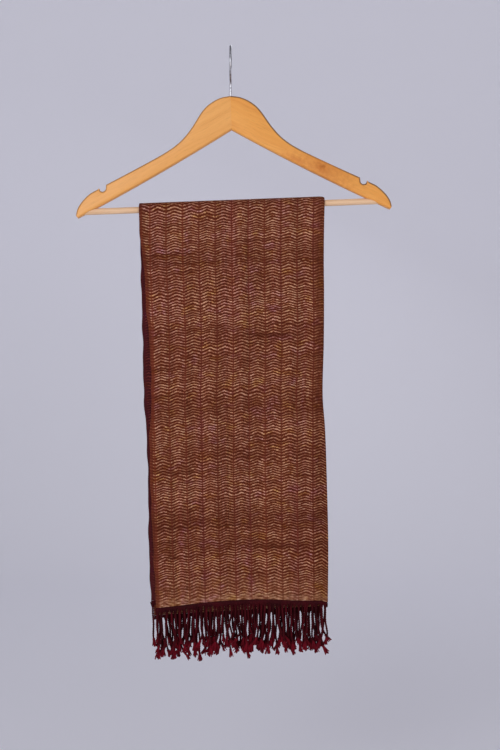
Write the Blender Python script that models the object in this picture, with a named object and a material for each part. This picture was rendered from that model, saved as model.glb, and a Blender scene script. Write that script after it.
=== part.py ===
"""Wool shawl, folded once lengthwise and hung over the bar of a wooden hanger.

The origin is the inner top of the hook, where it rests on a rail. +Z is up, +X runs along the
hanger to the right as seen from the front, and -Y faces the viewer. Sizes are in metres.
"""
import math

import bmesh
import bpy
from mathutils import Vector

MM = 0.001

# Hanger: a flat wooden pair of arms, a round bar and a wire hook
ARM_THICKNESS = 12.0 * MM
ARM_EDGE_ROUNDING = 2.0 * MM
APEX_BELOW_ORIGIN = 69.9 * MM
HANGER_ROLL = math.radians(1.65)
BAR_TILT = math.radians(0.5)
SEAM_GAP = 0.3 * MM
BAR_BELOW_APEX = 157.0 * MM
BAR_RADIUS = 4.5 * MM
BAR_END_GAP = 0.4 * MM
BAR_HALF_LENGTH = 216.0 * MM
HOLE_CLEARANCE = 0.35 * MM
WIRE_RADIUS = 1.5 * MM
HOOK_INNER_RADIUS = 23.0 * MM
SHANK_DEPTH = 22.0 * MM
SHANK_END_GAP = 0.4 * MM

# Outline of one arm in mm: distance out from the seam, and height from the apex
ARM_TOP = (
    dict(out=0.15, height=0.0),
    dict(out=15.0, height=-2.6),
    dict(out=30.0, height=-10.4),
    dict(out=42.0, height=-22.0),
    dict(out=58.0, height=-45.6),
    dict(out=74.0, height=-63.4),
    dict(out=96.0, height=-78.6),
    dict(out=138.0, height=-100.3),
    dict(out=181.0, height=-121.4),
)
NOTCH = dict(out=186.2, height=-126.3, radius=4.7, steps=5)
SHOULDER = (
    dict(out=191.6, height=-127.3),
    dict(out=204.5, height=-133.8),
    dict(out=216.0, height=-144.6),
    dict(out=222.6, height=-154.6),
    dict(out=224.8, height=-163.4),
    dict(out=222.8, height=-167.3),
)
LOWER_EDGE = dict(tip_out=219.5, tip_height=-166.2, seam_out=0.15, seam_height=-48.0, sag=2.6, steps=7)
OUTLINE_STEPS = 2

# Hook, in the upright plane across the hanger: angles turn from straight down towards the front
BEND_LENGTH = 7.5 * MM
BEND_PULL = 7.0 * MM
RING_JOINS_AT = math.radians(36)
RING_ENDS_AT = math.radians(262)
RING_STEPS = 26
SHANK_BEND_STEPS = 7
TIP_FLARE = (0.0, 1.2 * MM, -2.4 * MM)

# Shawl: one woven panel, two leaves thick once it is folded
WALL = 1.6 * MM
LEAF_GAP = 1.6 * MM
BAR_CLEARANCE = 0.3 * MM
CROWN_LAP = 14.0 * MM
STRETCH_GAP = 0.3 * MM
LEAF_COLUMNS = 10
BEND_STEPS = 6
BEND_REACH = 8.0 * MM
FALL_ROWS = 18
CROWN_STEPS = 10

# Edges of each fall, by share of the way from the bar to the hem. The inner leaf faces the bar.
FRONT_EDGES = (
    dict(share=0.00, inner_left=-130.5, outer_left=-130.2, fold_right=133.8),
    dict(share=0.08, inner_left=-128.4, outer_left=-128.1, fold_right=132.9),
    dict(share=0.15, inner_left=-127.8, outer_left=-122.5, fold_right=132.6),
    dict(share=0.23, inner_left=-126.5, outer_left=-120.4, fold_right=133.0),
    dict(share=0.35, inner_left=-124.8, outer_left=-114.6, fold_right=132.6),
    dict(share=0.48, inner_left=-123.3, outer_left=-112.2, fold_right=131.0),
    dict(share=0.57, inner_left=-119.7, outer_left=-115.0, fold_right=134.5),
    dict(share=0.70, inner_left=-117.2, outer_left=-113.6, fold_right=137.0),
    dict(share=0.85, inner_left=-116.4, outer_left=-109.6, fold_right=138.9),
    dict(share=1.00, inner_left=-113.2, outer_left=-105.5, fold_right=138.4),
)
BACK_EDGES = (
    dict(share=0.00, inner_left=-130.5, outer_left=-130.2, fold_right=133.8),
    dict(share=0.15, inner_left=-126.0, outer_left=-125.0, fold_right=131.5),
    dict(share=0.35, inner_left=-123.0, outer_left=-118.5, fold_right=131.0),
    dict(share=0.60, inner_left=-117.6, outer_left=-115.5, fold_right=131.2),
    dict(share=0.80, inner_left=-113.5, outer_left=-110.0, fold_right=130.6),
    dict(share=1.00, inner_left=-109.8, outer_left=-104.5, fold_right=129.8),
)

# Length from the bar's middle to the hem, by place across the sheet: 0 is the inner leaf's free
# edge, 1.5 the fold and 3 the outer leaf's free edge
FRONT_HEM = (
    dict(across=0.0, drop=557.0),
    dict(across=0.7, drop=559.0),
    dict(across=1.5, drop=564.6),
    dict(across=2.35, drop=559.5),
    dict(across=3.0, drop=567.0),
)
BACK_HEM = (
    dict(across=0.0, drop=581.0),
    dict(across=0.6, drop=578.0),
    dict(across=1.5, drop=575.5),
    dict(across=2.3, drop=572.0),
    dict(across=3.0, drop=576.0),
)

# Soft upright folds that bow a fall outwards, deepest at the hem
FRONT_FOLDS = (
    dict(middle=-72.0, width=30.0, depth=2.2, starts=0.20),
    dict(middle=4.0, width=34.0, depth=1.5, starts=0.45),
    dict(middle=82.0, width=32.0, depth=2.6, starts=0.12),
)
BACK_FOLDS = (
    dict(middle=-80.0, width=34.0, depth=2.4, starts=0.15),
    dict(middle=-6.0, width=42.0, depth=3.2, starts=0.30),
    dict(middle=74.0, width=30.0, depth=2.0, starts=0.40),
)

# Fringe: twisted strands that leave a narrow strip at each hem, each with a knot and a brush
STRIP_HEIGHT = 3.0 * MM
STRANDS_PER_LEAF = 26
STRAND_WIDTH = 2.7 * MM
STRAND_END_MARGIN = 3.5 * MM
STRAND_LENGTHS = (56.0, 61.0, 52.0, 58.0, 70.0, 55.0, 63.0, 50.0, 59.0, 66.0, 54.0)
LANE_PITCH = 4.4 * MM
CLUMP_PULL = 4.2 * MM
CLUMP_SPACING = 52.0 * MM
SWAY = 1.4 * MM
STRAND_RINGS = (
    dict(share=0.20, width=2.4, depth=2.2),
    dict(share=0.44, width=2.3, depth=2.3),
    dict(share=0.66, width=2.3, depth=2.3),
    dict(share=0.73, width=3.4, depth=3.1),
    dict(share=0.79, width=2.8, depth=2.5),
    dict(share=1.00, width=4.6, depth=3.4),
)


def clear_scene():
    for thing in list(bpy.data.objects):
        bpy.data.objects.remove(thing, do_unlink=True)


def make_material(name, colour, roughness, metallic=0.0):
    material = bpy.data.materials.new(name)
    material.use_nodes = True
    shader = material.node_tree.nodes["Principled BSDF"]
    shader.inputs["Base Color"].default_value = (*colour, 1.0)
    shader.inputs["Roughness"].default_value = roughness
    shader.inputs["Metallic"].default_value = metallic
    return material


def add_object(name, data, material=None, parent=None):
    thing = bpy.data.objects.new(name, data)
    bpy.context.scene.collection.objects.link(thing)
    thing.parent = parent
    if material:
        data.materials.append(material)
    return thing


def mesh_object(name, points, faces, material, parent=None):
    mesh = bpy.data.meshes.new(name)
    mesh.from_pydata(points, [], faces)
    shape = bmesh.new()
    shape.from_mesh(mesh)
    bmesh.ops.recalc_face_normals(shape, faces=shape.faces)
    shape.to_mesh(mesh)
    shape.free()
    mesh.shade_smooth()
    mesh.set_sharp_from_angle(angle=math.radians(40))
    return add_object(name, mesh, material, parent)


def cutter(name, radius, length, sides, location, turn=0.0):
    shape = bmesh.new()
    bmesh.ops.create_cone(
        shape, cap_ends=True, segments=sides, radius1=radius, radius2=radius, depth=length
    )
    mesh = bpy.data.meshes.new(name)
    shape.to_mesh(mesh)
    shape.free()
    tool = add_object(name, mesh)
    tool.location = location
    tool.rotation_euler = (0.0, turn, 0.0)
    tool.hide_render = True
    tool.display_type = "WIRE"
    return tool


def cut_with(target, tool):
    cut = target.modifiers.new("cut " + tool.name, "BOOLEAN")
    cut.operation = "DIFFERENCE"
    cut.solver = "EXACT"
    cut.object = tool


# Reads a named column of a table at a place, through a smooth curve that keeps its rows' values
def table_value(table, key, column, place):
    rows = list(table)
    if place <= rows[0][key]:
        return rows[0][column]
    if place >= rows[-1][key]:
        return rows[-1][column]
    index = max(i for i, row in enumerate(rows) if row[key] <= place)
    index = min(index, len(rows) - 2)
    before = rows[max(index - 1, 0)]
    start = rows[index]
    end = rows[index + 1]
    after = rows[min(index + 2, len(rows) - 1)]
    span = end[key] - start[key]
    step = (place - start[key]) / span
    leave = span * (end[column] - before[column]) / (end[key] - before[key])
    arrive = span * (after[column] - start[column]) / (after[key] - start[key])
    square = step * step
    cube = square * step
    return (
        (2 * cube - 3 * square + 1) * start[column]
        + (cube - 2 * square + step) * leave
        + (3 * square - 2 * cube) * end[column]
        + (cube - square) * arrive
    )


# Smooth curve through an outline's points, with some points between each pair
def smooth_outline(points, steps):
    curve = []
    for index in range(len(points) - 1):
        before = Vector(points[max(index - 1, 0)])
        start = Vector(points[index])
        end = Vector(points[index + 1])
        after = Vector(points[min(index + 2, len(points) - 1)])
        leave = (end - before) / 2
        arrive = (after - start) / 2
        for step in range(steps):
            share = step / steps
            square = share * share
            cube = square * share
            curve.append(
                (2 * cube - 3 * square + 1) * start
                + (cube - 2 * square + share) * leave
                + (3 * square - 2 * cube) * end
                + (cube - square) * arrive
            )
    curve.append(Vector(points[-1]))
    return [(point.x, point.y) for point in curve]


# Outline of the right arm as seen from the front, once round (mm)
def arm_outline():
    top = smooth_outline([(row["out"], row["height"]) for row in ARM_TOP], OUTLINE_STEPS)
    notch = []
    for step in range(NOTCH["steps"] + 1):
        angle = math.pi + math.pi * step / NOTCH["steps"]
        notch.append(
            (
                NOTCH["out"] + NOTCH["radius"] * math.cos(angle),
                NOTCH["height"] + NOTCH["radius"] * math.sin(angle),
            )
        )
    shoulder = smooth_outline([(row["out"], row["height"]) for row in SHOULDER], OUTLINE_STEPS)
    lower = []
    run = LOWER_EDGE["seam_out"] - LOWER_EDGE["tip_out"]
    rise = LOWER_EDGE["seam_height"] - LOWER_EDGE["tip_height"]
    for step in range(LOWER_EDGE["steps"] + 1):
        share = step / LOWER_EDGE["steps"]
        sag = LOWER_EDGE["sag"] * 4 * share * (1 - share)
        lower.append(
            (LOWER_EDGE["tip_out"] + run * share, LOWER_EDGE["tip_height"] + rise * share - sag)
        )
    return top + notch + shoulder + lower


def make_arm(name, side, material, parent, holes):
    outline = arm_outline()
    shape = bmesh.new()
    front = []
    for x, z in outline:
        front.append(shape.verts.new((side * x * MM, -ARM_THICKNESS / 2, z * MM)))
    face = shape.faces.new(front)
    pulled = bmesh.ops.extrude_face_region(shape, geom=[face])
    back = [item for item in pulled["geom"] if isinstance(item, bmesh.types.BMVert)]
    bmesh.ops.translate(shape, verts=back, vec=(0.0, ARM_THICKNESS, 0.0))
    bmesh.ops.recalc_face_normals(shape, faces=shape.faces)
    seam_x = SEAM_GAP / 2 + 0.01 * MM
    rounded = []
    for edge in shape.edges:
        across = abs(edge.verts[0].co.y - edge.verts[1].co.y) > ARM_THICKNESS / 2
        on_seam = all(abs(vert.co.x) < seam_x for vert in edge.verts)
        if not across and not on_seam:
            rounded.append(edge)
    bmesh.ops.bevel(
        shape,
        geom=rounded,
        offset=ARM_EDGE_ROUNDING,
        offset_type="OFFSET",
        segments=2,
        profile=0.5,
        affect="EDGES",
        clamp_overlap=True,
    )
    mesh = bpy.data.meshes.new(name)
    shape.to_mesh(mesh)
    shape.free()
    mesh.shade_smooth()
    mesh.set_sharp_from_angle(angle=math.radians(40))
    arm = add_object(name, mesh, material, parent)
    for hole in holes:
        cut_with(arm, hole)
    return arm


def make_hanger():
    wood = make_material("varnished wood", (0.74, 0.37, 0.13), 0.35)
    pale_wood = make_material("pale bar wood", (0.76, 0.50, 0.32), 0.5)
    chrome = make_material("chrome wire", (0.75, 0.75, 0.77), 0.15, 1.0)
    apex = add_object("hanger apex", None)
    apex.location = (0.0, 0.0, -APEX_BELOW_ORIGIN)
    apex.rotation_euler = (0.0, -HANGER_ROLL, 0.0)

    hook_hole = cutter(
        "hook hole",
        WIRE_RADIUS + HOLE_CLEARANCE,
        2 * SHANK_DEPTH,
        12,
        (0.0, 0.0, -APEX_BELOW_ORIGIN),
    )
    bar_turn = math.pi / 2 - BAR_TILT
    bar_hole = cutter(
        "bar hole",
        BAR_RADIUS + HOLE_CLEARANCE,
        2 * (BAR_HALF_LENGTH + BAR_END_GAP),
        16,
        (0.0, 0.0, -BAR_BELOW_APEX),
        turn=bar_turn,
    )
    bar_hole.parent = apex
    make_arm("hanger_arm_left", -1, wood, apex, (hook_hole, bar_hole))
    make_arm("hanger_arm_right", 1, wood, apex, (hook_hole, bar_hole))

    shape = bmesh.new()
    bmesh.ops.create_cone(
        shape,
        cap_ends=True,
        segments=16,
        radius1=BAR_RADIUS,
        radius2=BAR_RADIUS,
        depth=2 * BAR_HALF_LENGTH,
    )
    mesh = bpy.data.meshes.new("hanger_bar")
    shape.to_mesh(mesh)
    shape.free()
    mesh.shade_smooth()
    mesh.set_sharp_from_angle(angle=math.radians(40))
    bar = add_object("hanger_bar", mesh, pale_wood, apex)
    bar.location = (0.0, 0.0, -BAR_BELOW_APEX)
    bar.rotation_euler = (0.0, bar_turn, 0.0)

    make_hook(chrome)


# The wire rises from the wood, bends to the front and goes round over the rail to the back
def hook_path():
    ring_radius = HOOK_INNER_RADIUS + WIRE_RADIUS
    ring_height = -HOOK_INNER_RADIUS

    def on_ring(angle):
        return Vector(
            (0.0, -ring_radius * math.sin(angle), ring_height - ring_radius * math.cos(angle))
        )

    join = on_ring(RING_JOINS_AT)
    heading = Vector((0.0, -math.cos(RING_JOINS_AT), math.sin(RING_JOINS_AT)))
    start = Vector((0.0, 0.0, ring_height - ring_radius - BEND_LENGTH))
    upward = Vector((0.0, 0.0, BEND_PULL))
    path = [Vector((0.0, 0.0, -APEX_BELOW_ORIGIN - SHANK_DEPTH + SHANK_END_GAP))]
    for step in range(SHANK_BEND_STEPS):
        share = step / SHANK_BEND_STEPS
        rest = 1 - share
        path.append(
            rest**3 * start
            + 3 * rest**2 * share * (start + upward)
            + 3 * rest * share**2 * (join - heading * BEND_PULL)
            + share**3 * join
        )
    for step in range(RING_STEPS + 1):
        path.append(on_ring(RING_JOINS_AT + (RING_ENDS_AT - RING_JOINS_AT) * step / RING_STEPS))
    path.append(path[-1] + Vector(TIP_FLARE))
    return path


def make_hook(material):
    path = hook_path()
    wire = bpy.data.curves.new("hanger_hook", "CURVE")
    wire.dimensions = "3D"
    wire.bevel_depth = WIRE_RADIUS
    wire.bevel_resolution = 2
    wire.use_fill_caps = True
    spline = wire.splines.new("POLY")
    spline.points.add(len(path) - 1)
    for point, place in zip(spline.points, path):
        point.co = (*place, 1.0)
    spline.use_smooth = True
    return add_object("hanger_hook", wire, material)


# A fall of the sheet: side is -1 in front of the bar and 1 behind it
class Fall:
    def __init__(self, side, edges, hem, folds):
        self.side = side
        self.edges = edges
        self.hem = hem
        self.folds = folds

    # Place across the sheet: x, and how far it lies outwards of the middle of the two leaves. The
    # fold is half an ellipse, so that the leaves curve away softly before it.
    def across_place(self, across, share):
        half_gap = (WALL + LEAF_GAP) / 2
        right = table_value(self.edges, "share", "fold_right", share) * MM
        bend_x = right - WALL / 2 - BEND_REACH
        if across <= 1.0:
            left = table_value(self.edges, "share", "inner_left", share) * MM
            return left + (bend_x - left) * across, -half_gap
        if across <= 2.0:
            turn = math.pi * (across - 1.0)
            return bend_x + BEND_REACH * math.sin(turn), -half_gap * math.cos(turn)
        left = table_value(self.edges, "share", "outer_left", share) * MM
        return bend_x + (left - bend_x) * (across - 2.0), half_gap

    def fold_depth(self, x, share):
        depth = 0.0
        for fold in self.folds:
            if share > fold["starts"]:
                grown = (share - fold["starts"]) / (1.0 - fold["starts"])
                away = (x / MM - fold["middle"]) / fold["width"]
                depth += fold["depth"] * MM * grown * math.exp(-away * away)
        return depth

    # Middle surface of the cloth at a place across and a share of the way down
    def point(self, across, share):
        x, outwards = self.across_place(across, share)
        drop = table_value(self.hem, "across", "drop", across) * MM * share
        middle = BAR_RADIUS + BAR_CLEARANCE + WALL + LEAF_GAP / 2
        y = self.side * (middle + outwards + self.fold_depth(x, share))
        return Vector((x, y, bar_height(x) - drop))


def bar_height(x):
    middle_x = BAR_BELOW_APEX * math.sin(HANGER_ROLL)
    middle = -APEX_BELOW_ORIGIN - BAR_BELOW_APEX * math.cos(HANGER_ROLL)
    return middle + (x - middle_x) * math.tan(HANGER_ROLL + BAR_TILT)


FRONT = Fall(-1, FRONT_EDGES, FRONT_HEM, FRONT_FOLDS)
BACK = Fall(1, BACK_EDGES, BACK_HEM, BACK_FOLDS)


# Middle surface where the sheet turns over the bar: turn 0 is the front side, pi the back side
def crown_point(across, turn):
    x, outwards = FRONT.across_place(across, 0.0)
    radius = BAR_RADIUS + BAR_CLEARANCE + WALL + LEAF_GAP / 2 + outwards
    return Vector((x, -radius * math.cos(turn), bar_height(x) + radius * math.sin(turn)))


# Places across a leaf, round the fold and back along the other leaf
def sheet_columns():
    columns = [step / LEAF_COLUMNS for step in range(LEAF_COLUMNS)]
    columns += [1.0 + step / BEND_STEPS for step in range(BEND_STEPS)]
    columns += [2.0 + step / LEAF_COLUMNS for step in range(LEAF_COLUMNS + 1)]
    return columns


# Closed wall round a middle surface, given as a function of a row and a place across
def make_wall(name, rows, columns, surface, material):
    nudge_across = 0.01
    skins = ([], [])
    for row in rows:
        for across in columns:
            low = max(across - nudge_across, 0.0)
            high = min(across + nudge_across, 3.0)
            along = surface(row, high) - surface(row, low)
            down = surface(row + 1e-3, across) - surface(row - 1e-3, across)
            normal = along.cross(down).normalized()
            middle = surface(row, across)
            skins[0].append(middle + normal * WALL / 2)
            skins[1].append(middle - normal * WALL / 2)
    wide = len(columns)
    size = len(skins[0])
    faces = []
    for r in range(len(rows) - 1):
        for c in range(wide - 1):
            corner = r * wide + c
            quad = (corner, corner + 1, corner + wide + 1, corner + wide)
            faces.append(quad)
            faces.append(tuple(size + index for index in reversed(quad)))
    last = (len(rows) - 1) * wide
    for c in range(wide - 1):
        faces.append((c + 1, c, size + c, size + c + 1))
        faces.append((last + c, last + c + 1, size + last + c + 1, size + last + c))
    for r in range(len(rows) - 1):
        start = r * wide
        end = start + wide - 1
        faces.append((start, start + wide, size + start + wide, size + start))
        faces.append((end + wide, end, size + end, size + end + wide))
    return mesh_object(name, skins[0] + skins[1], faces, material)


# The lap is a length below the bar's middle, given as a share of a fall
def make_shawl():
    wool = make_material("zigzag wool", (0.21, 0.072, 0.032), 0.9)
    columns = sheet_columns()
    for name, fall in (("shawl_front_fall", FRONT), ("shawl_back_fall", BACK)):
        top_share = (CROWN_LAP + STRETCH_GAP) / (fall.hem[2]["drop"] * MM)
        rows = [top_share + (1.0 - top_share) * row / FALL_ROWS for row in range(FALL_ROWS + 1)]
        make_wall(name, rows, columns, lambda row, across, f=fall: f.point(across, row), wool)

    # Rows below 0 lie on the front fall, and rows past pi on the back fall
    def over_bar(row, across):
        if row < 0.0:
            return FRONT.point(across, -row * CROWN_LAP / (FRONT_HEM[2]["drop"] * MM))
        if row > math.pi:
            share = (row - math.pi) * CROWN_LAP / (BACK_HEM[2]["drop"] * MM)
            return BACK.point(across, share)
        return crown_point(across, row)

    rows = [-1.0]
    rows += [math.pi * step / CROWN_STEPS for step in range(CROWN_STEPS + 1)]
    rows += [math.pi + 1.0]
    make_wall("shawl_over_bar", rows, columns, over_bar, wool)


# One end of the shawl: a strip of weave that follows the hem, with strands that hang from it
def make_fringe(name, fall, material):
    columns = []
    roots = []
    for leaf, start, lane in (("inner", 0.0, 0), ("outer", 2.0, 2)):
        left_key = leaf + "_left"
        left = table_value(fall.edges, "share", left_key, 1.0) * MM
        right = table_value(fall.edges, "share", "fold_right", 1.0) * MM - WALL / 2 - BEND_REACH
        length = right - left
        usable = length - 2 * STRAND_END_MARGIN
        leaf_columns = []
        for number in range(STRANDS_PER_LEAF):
            middle = STRAND_END_MARGIN + usable * number / (STRANDS_PER_LEAF - 1)
            near = (middle - STRAND_WIDTH / 2) / length
            far = (middle + STRAND_WIDTH / 2) / length
            if leaf == "outer":
                near = 1.0 - near
                far = 1.0 - far
            leaf_columns.append((min(near, far) + start, number, lane))
            leaf_columns.append((max(near, far) + start, None, lane))
        leaf_columns.sort(key=lambda column: column[0])
        if leaf == "inner":
            columns.append((0.0, None, lane))
            columns += leaf_columns
            columns += [(1.0 + step / BEND_STEPS, None, lane) for step in range(BEND_STEPS + 1)]
        else:
            columns += leaf_columns
            columns.append((3.0, None, lane))

    points = []
    for across, number, lane in columns:
        middle = fall.point(across, 1.0)
        low = fall.point(max(across - 0.01, 0.0), 1.0)
        high = fall.point(min(across + 0.01, 3.0), 1.0)
        along = high - low
        outward = Vector((along.y, -along.x, 0.0)).normalized() * WALL / 2
        top = middle - Vector((0.0, 0.0, STRETCH_GAP))
        bottom = top - Vector((0.0, 0.0, STRIP_HEIGHT))
        points += [top - outward, top + outward, bottom + outward, bottom - outward]
        roots.append((number, lane))

    faces = [(0, 1, 2, 3)]
    for index in range(len(columns) - 1):
        here = 4 * index
        there = here + 4
        faces.append((here, there, there + 1, here + 1))
        faces.append((here + 1, there + 1, there + 2, here + 2))
        faces.append((here + 3, there + 3, there, here))
        number, lane = roots[index]
        if number is None:
            faces.append((here + 2, there + 2, there + 3, here + 3))
            continue
        ring = [here + 3, here + 2, there + 2, there + 3]
        add_strand(points, faces, ring, fall.side, number, lane)
    last = 4 * (len(columns) - 1)
    faces.append((last + 3, last + 2, last + 1, last))
    return mesh_object(name, points, faces, material)


# Hangs a four-sided strand from a ring of the strip's lower face
def add_strand(points, faces, ring, side, number, lane):
    root = sum((points[index] for index in ring), Vector()) / 4
    length = STRAND_LENGTHS[(number * 7 + lane * 3) % len(STRAND_LENGTHS)] * MM
    phase = 1.7 * lane + (0.9 if side > 0 else 0.0)
    pull = CLUMP_PULL * math.sin(2 * math.pi * root.x / CLUMP_SPACING + phase)
    lane_y = side * LANE_PITCH * (0.5 + lane + number % 2)
    corners = (points[ring[0]], points[ring[1]], points[ring[2]], points[ring[3]])
    signs = []
    for corner in corners:
        signs.append((1.0 if corner.x > root.x else -1.0, 1.0 if corner.y > root.y else -1.0))
    for row in STRAND_RINGS:
        share = row["share"]
        sway = SWAY * math.sin(math.pi * share * 2 + 2.4 * number + lane) * share
        x = root.x + pull * share * share + sway
        y = root.y + (lane_y - root.y) * share
        z = root.z - length * share
        next_ring = []
        for sign_x, sign_y in signs:
            next_ring.append(len(points))
            points.append(
                Vector((x + sign_x * row["width"] * MM / 2, y + sign_y * row["depth"] * MM / 2, z))
            )
        for index in range(4):
            after = (index + 1) % 4
            faces.append((ring[index], ring[after], next_ring[after], next_ring[index]))
        ring = next_ring
    faces.append(tuple(ring))


clear_scene()
make_hanger()
make_shawl()
FRINGE_YARN = make_material("fringe yarn", (0.075, 0.012, 0.02), 0.85)
make_fringe("fringe_front", FRONT, FRINGE_YARN)
make_fringe("fringe_back", BACK, FRINGE_YARN)
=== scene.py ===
"""Looks of a wool shawl that hangs, folded lengthwise, over the bar of a wooden hanger."""
import random
from functools import partialmethod
from itertools import accumulate
from math import asin, atan2, cos, exp, pi, radians, sin, sqrt, tan
from types import SimpleNamespace

import bmesh
import bpy
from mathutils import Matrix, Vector
from mathutils.geometry import interpolate_bezier


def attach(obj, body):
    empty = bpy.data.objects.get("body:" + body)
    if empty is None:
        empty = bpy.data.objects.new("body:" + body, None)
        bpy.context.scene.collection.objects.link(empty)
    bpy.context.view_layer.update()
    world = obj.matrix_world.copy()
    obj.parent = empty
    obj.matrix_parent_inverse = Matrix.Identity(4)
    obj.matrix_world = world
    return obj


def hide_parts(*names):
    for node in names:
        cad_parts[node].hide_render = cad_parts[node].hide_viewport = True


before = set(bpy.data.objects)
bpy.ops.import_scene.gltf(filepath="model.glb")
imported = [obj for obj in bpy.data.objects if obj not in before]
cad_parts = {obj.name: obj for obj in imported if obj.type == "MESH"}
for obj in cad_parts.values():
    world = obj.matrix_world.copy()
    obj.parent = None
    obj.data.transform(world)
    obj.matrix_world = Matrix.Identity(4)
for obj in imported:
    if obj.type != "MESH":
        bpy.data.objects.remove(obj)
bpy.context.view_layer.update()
MM = 0.001

# Camera
# The photograph is level and straight on. Its frame is 500 by 750, and the hanger's length gives
# 1.42 mm a pixel in the plane of the cloth, so a 50 mm lens stands about one and a half metres off.
def add_object(name, data):
    made = bpy.data.objects.new(name, data)
    bpy.context.scene.collection.objects.link(made)
    return made


mm_per_pixel = 1.42
photo_wide = 500
photo_high = 750
origin_pixel = (230.5, 45.8)
lens_mm = 50.0
film_mm = 36.0
cloth_front = -8.0 * MM
camera_data = bpy.data.cameras.new("photo camera")
camera_data.lens = lens_mm
camera_data.sensor_width = film_mm
camera = add_object("photo camera", camera_data)
photo_distance = lens_mm / film_mm * photo_high * mm_per_pixel * MM
camera.location = (
    (photo_wide / 2 - origin_pixel[0]) * mm_per_pixel * MM,
    cloth_front - photo_distance,
    -(photo_high / 2 - origin_pixel[1]) * mm_per_pixel * MM,
)
camera.rotation_euler = (pi / 2, 0.0, 0.0)
bpy.context.scene.camera = camera
bpy.context.scene.view_settings.view_transform = "Standard"


# Floor and light
# A pale floor that rises to a wall in one long curve, far enough off to throw no shadow. The light
# is soft, a little blue from above and in front and a little warm from below, as in open shade.
def add_node(tree, kind, values=None, **settings):
    made = tree.nodes.new(kind)
    for key, value in settings.items():
        setattr(made, key, value)
    for key, value in (values or {}).items():
        if isinstance(value, Signal):
            tree.links.new(value.socket, made.inputs[key])
        else:
            made.inputs[key].default_value = value
    return made


# What a node gives out. To reckon with it adds more nodes to its tree, one for each step.
class Signal:
    def __init__(self, tree, socket):
        self.tree = tree
        self.socket = socket

    def step(self, operation, *others, kind="ShaderNodeMath", output=0):
        values = dict(enumerate((self, *others)))
        return signal(self.tree, kind, output, values, operation=operation)

    __add__ = partialmethod(step, "ADD")
    __sub__ = partialmethod(step, "SUBTRACT")
    __mul__ = partialmethod(step, "MULTIPLY")
    __truediv__ = partialmethod(step, "DIVIDE")
    vector_step = partialmethod(step, kind="ShaderNodeVectorMath")

    def parts(self, kind="ShaderNodeSeparateXYZ"):
        return [Signal(self.tree, socket) for socket in add_node(self.tree, kind, {0: self}).outputs]

    def remap(self, low, high, to_low=0.0, to_high=1.0, curve="LINEAR"):
        values = {"Value": self, "From Min": low, "From Max": high, "To Min": to_low, "To Max": to_high}
        return signal(self.tree, "ShaderNodeMapRange", "Result", values, interpolation_type=curve)

    soft_step = partialmethod(remap, curve="SMOOTHSTEP")

    def noise(self, scale, detail=2.0, rough=0.5, output="Fac"):
        values = {"Vector": self, "Scale": scale, "Detail": detail, "Roughness": rough}
        return signal(self.tree, "ShaderNodeTexNoise", output, values)

    # Colours by level: each stop is a level and its colour, from the lowest up
    def ramp(self, stops, curve="LINEAR"):
        made = add_node(self.tree, "ShaderNodeValToRGB", {"Fac": self})
        made.color_ramp.interpolation = curve
        elements = made.color_ramp.elements
        for index, (level, tint) in enumerate(stops):
            stop = elements[index] if index < 2 else elements.new(level)
            stop.position = level
            stop.color = tint
        return Signal(self.tree, made.outputs["Color"])

    def to(self, node, entry):
        self.tree.links.new(self.socket, node.inputs[entry])


def signal(tree, kind, output, values=None, **settings):
    return Signal(tree, add_node(tree, kind, values, **settings).outputs[output])


# Colours are given as the photograph shows them, 0 to 255, and made linear here
def colour(red, green, blue):
    linear = []
    for value in (red, green, blue):
        part = value / 255
        linear.append(part / 12.92 if part <= 0.04045 else ((part + 0.055) / 1.055) ** 2.4)
    return (*linear, 1.0)


def start_material(name, **constants):
    material = bpy.data.materials.new(name)
    material.use_nodes = True
    shader = material.node_tree.nodes["Principled BSDF"]
    for key, value in constants.items():
        shader.inputs[key.replace("_", " ")].default_value = value
    return material, material.node_tree, shader


def mesh_piece(name, points, faces, materials=()):
    mesh = bpy.data.meshes.new(name)
    mesh.from_pydata(points, [], faces)
    for material in materials:
        mesh.materials.append(material)
    mesh.shade_smooth()
    return add_object(name, mesh)


floor_height = -1.16
wall_distance = 3.2
cove_radius = 1.3
cove_half_width = 7.0
cove_front = -4.0
cove_top = 4.0
cove_steps = 16
cove_start = wall_distance - cove_radius
cove_profile = [(cove_front, floor_height)]
for step in range(cove_steps + 1):
    turn = pi / 2 * step / cove_steps
    risen = floor_height + cove_radius * (1 - cos(turn))
    cove_profile.append((cove_start + cove_radius * sin(turn), risen))
cove_profile.append((wall_distance, cove_top))
cove_points = [(x, y, z) for y, z in cove_profile for x in (-cove_half_width, cove_half_width)]
cove_faces = [(low, low + 1, low + 3, low + 2) for low in range(0, len(cove_points) - 2, 2)]
cove_paint = start_material("pale floor", Roughness=0.9, Base_Color=colour(243, 242, 248))[0]
cove = mesh_piece("pale_floor", cove_points, cove_faces, [cove_paint])

# The shade is darker overhead than round about, as under an awning
sky = bpy.data.worlds.new("open shade")
sky.use_nodes = True
sky_light = sky.node_tree.nodes["Background"]
sky_light.inputs["Color"].default_value = colour(216, 216, 226)
sky_height = signal(sky.node_tree, "ShaderNodeTexCoord", "Generated").parts()[2]
sky_height.remap(0.05, 0.9, 1.0, 0.27).to(sky_light, "Strength")
bpy.context.scene.world = sky

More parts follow.
